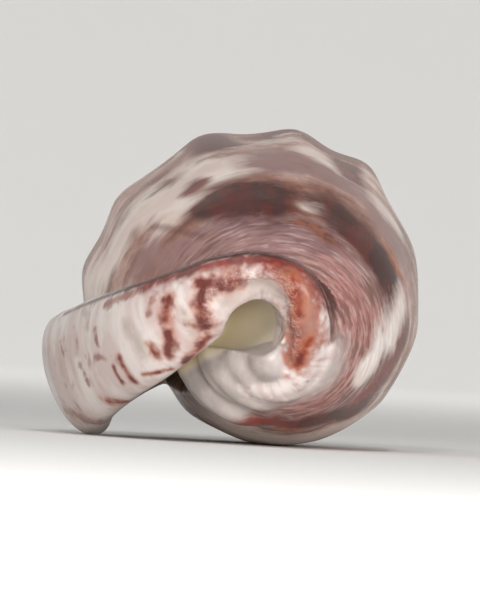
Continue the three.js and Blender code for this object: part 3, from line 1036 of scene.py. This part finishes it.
def shellMaterial(look):
    material = bpy.data.materials.new("glazedMarginella")
    material.use_nodes = True
    links = material.node_tree.links
    shader = material.node_tree.nodes["Principled BSDF"]
    sources = shellSources(material, look)

    mottling = 0.5
    for name, amount in look["shoulderMix"].items():
        mottling = addNode(material, "Math", {0: sources[name], 1: amount, 2: mottling},
                           operation="MULTIPLY_ADD")
    shoulder = addNode(material, "ValToRGB", {"Fac": mottling})
    setRamp(shoulder.node, look["shoulderTones"])
    body = paintLayers(material, look, "bodyLayers", shoulder, sources)
    low, high = look["bandEdges"]
    bands = addNode(material, "MapRange", {"Value": sources["bands"], "From Min": low, "From Max": high})
    lip = addNode(material, "Mix", {0: bands, firstTone: look["lipGround"][1],
                  secondTone: look["lipGround"][0]}, mixedTone, data_type="RGBA")
    lip = paintLayers(material, look, "lipLayers", lip, sources)
    colour = addNode(material, "Mix", {0: sources["roll"], firstTone: body, secondTone: lip}, mixedTone,
                     data_type="RGBA")
    colour = paintLayers(material, look, "topLayers", colour, sources)
    links.new(colour, shader.inputs["Base Color"])

    low, high = look["wetEdges"]
    wet = addNode(material, "MapRange", {"Value": sources["crest"], "From Min": low, "From Max": high})
    gloss = addNode(material, "MapRange", {"Value": wet, "To Min": look["roughness"],
                    "To Max": look["wetRoughness"]})
    links.new(gloss, shader.inputs["Roughness"])
    shader.inputs["IOR"].default_value = look["ior"]
    shader.inputs["Specular IOR Level"].default_value = look["specularLevel"]
    shader.inputs["Subsurface Weight"].default_value = look["subsurface"]
    shader.inputs["Subsurface Radius"].default_value = look["subsurfaceRadius"]
    shader.inputs["Subsurface Scale"].default_value = look["subsurfaceScale"] * millimetre
    lines = addNode(material, "Math", {0: sources["lines"], 1: sources["growthLines"]},
                    operation="MULTIPLY")
    lines = addNode(material, "Math", {0: lines, 1: look["lineHeight"]}, operation="MULTIPLY")
    wrinkles = addNode(material, "Math", {0: sources["grain"], 1: look["wrinkleHeight"]},
                       operation="MULTIPLY")
    height = addNode(material, "Math", {0: wrinkles, 1: wet, 2: lines}, operation="MULTIPLY_ADD")
    bump = addNode(material, "Bump", {"Height": height, "Strength": look["bumpStrength"],
                   "Distance": look["bumpDistance"] * millimetre})
    links.new(bump, shader.inputs["Normal"])
    return material


shell.data.materials.append(shellMaterial(shellLook))
print("shell painted")

# Seamless sweep of matt uncoated paper, flat under the shell and rising all round: it has no gloss,
# so it gives the eye soft shadows alone
paperSweep = {
    "flat": 0.9,                 # metres
    "bend": 0.8,
    "top": 1.9,
    "sides": 96,
    "bendSteps": 13,
    "colour": "#ebe9e6",
    "roughness": 0.95,
}


def paperMaterial(sweep):
    material = bpy.data.materials.new("mattPaper")
    material.use_nodes = True
    shader = material.node_tree.nodes["Principled BSDF"]
    shader.inputs["Base Color"].default_value = linear(sweep["colour"])
    shader.inputs["Roughness"].default_value = sweep["roughness"]
    return material


def addPaper(sweep):
    startClean()
    bpy.ops.mesh.primitive_circle_add(vertices=sweep["sides"], radius=sweep["flat"], fill_type="NGON")
    paper = bpy.context.object
    paper.name = "paperSweep"
    bpy.ops.object.mode_set(mode="EDIT")
    bpy.ops.mesh.select_all(action="SELECT")
    profile = [(sweep["flat"] + sweep["bend"] * math.sin(t), sweep["bend"] * (1 - math.cos(t)))
               for t in np.linspace(0, math.pi / 2, sweep["bendSteps"])[1:]]
    profile.append((profile[-1][0] + 0.001, sweep["top"]))
    bpy.ops.mesh.select_mode(type="EDGE")
    bpy.ops.mesh.select_all(action="SELECT")
    bpy.ops.mesh.region_to_loop()
    radius, height = sweep["flat"], 0.0
    for nextRadius, nextHeight in profile:
        bpy.ops.mesh.extrude_edges_move(TRANSFORM_OT_translate={"value": (0, 0, nextHeight - height)})
        grow = nextRadius / radius
        bpy.ops.transform.resize(value=(grow, grow, 1))
        radius, height = nextRadius, nextHeight
    bpy.ops.mesh.select_all(action="SELECT")
    bpy.ops.mesh.normals_make_consistent(inside=True)
    bpy.ops.object.mode_set(mode="OBJECT")
    bpy.ops.object.shade_smooth()
    paper.data.materials.append(paperMaterial(sweep))


addPaper(paperSweep)

view = {
    "target": (0.00023, 0.0, 0.00908),   # metres
    "azimuth": 2.5,              # degrees, to the left of the shell's axis
    "elevation": -0.2,
    "roll": 3.3,
    "distance": 0.6,             # metres
    "width": 30.98,              # millimetres across the picture at the target
    "sensor": 36,
}


def addCamera():
    bpy.ops.object.camera_add()
    camera = bpy.context.object
    camera.name = "photoCamera"
    azimuth, elevation = math.radians(view["azimuth"]), math.radians(view["elevation"])
    level = math.cos(elevation)
    ahead = Vector((math.sin(azimuth) * level, math.cos(azimuth) * level, -math.sin(elevation)))
    camera.location = Vector(view["target"]) - ahead * view["distance"]
    turn = ahead.to_track_quat("-Z", "Y").to_matrix().to_4x4()
    camera.rotation_euler = (turn @ Matrix.Rotation(math.radians(view["roll"]), 4, "Z")).to_euler()
    camera.data.sensor_fit = "HORIZONTAL"
    camera.data.sensor_width = view["sensor"]
    camera.data.lens = view["sensor"] * view["distance"] / (view["width"] * millimetre)
    camera.data.clip_start, camera.data.clip_end = 0.01, 20
    bpy.context.scene.camera = camera


# Plain soft light: place, width and height in metres, watts, and its aim where that isn't the shell
shellMiddle = (0, 0, 0.01)
softboxes = {
    "softboxLeft": ((-0.26, -0.44, 0.24), (0.2, 0.26), 0.35),
    "softboxRight": ((0.34, -0.36, 0.08), (0.14, 0.14), 0.5),
    "fillByCamera": ((0.02, -0.62, 0.07), (0.34, 0.12), 1.4),
    "lowFill": ((0.12, -0.34, 0.03), (0.3, 0.05), 0.6),
    "lowFillLeft": ((-0.3, -0.22, 0.03), (0.2, 0.05), 0.2),
    "smallSoftboxLeft": ((-0.07, -0.42, 0.24), (0.05, 0.05), 0.5),
    "smallSoftboxTop": ((0.03, -0.36, 0.34), (0.05, 0.05), 0.5),
    "paperWash": ((0, 0.5, 0.7), (0.9, 0.4), 4.6, (0, 1.5, 0.15)),
}
room = {
    "colour": (0.95, 0.97, 1, 1),        # linear
    "strength": 0.36,
}


def addSoftbox(name, place, size, watts, target=shellMiddle):
    bpy.ops.object.light_add(type="AREA", location=place)
    light = bpy.context.object
    light.name = name
    light.data.shape = "RECTANGLE"
    light.data.size, light.data.size_y = size
    light.data.energy = watts
    light.rotation_euler = (Vector(target) - Vector(place)).to_track_quat("-Z", "Y").to_euler()


def lightRoom():
    world = bpy.context.scene.world or bpy.data.worlds.new("studio")
    bpy.context.scene.world = world
    world.use_nodes = True
    background = world.node_tree.nodes["Background"]
    background.inputs["Color"].default_value = room["colour"]
    background.inputs["Strength"].default_value = room["strength"]


addCamera()
for name, settings in softboxes.items():
    addSoftbox(name, *settings)
lightRoom()
bpy.context.scene.view_settings.view_transform = "Standard"
print("paper, camera and lights placed")
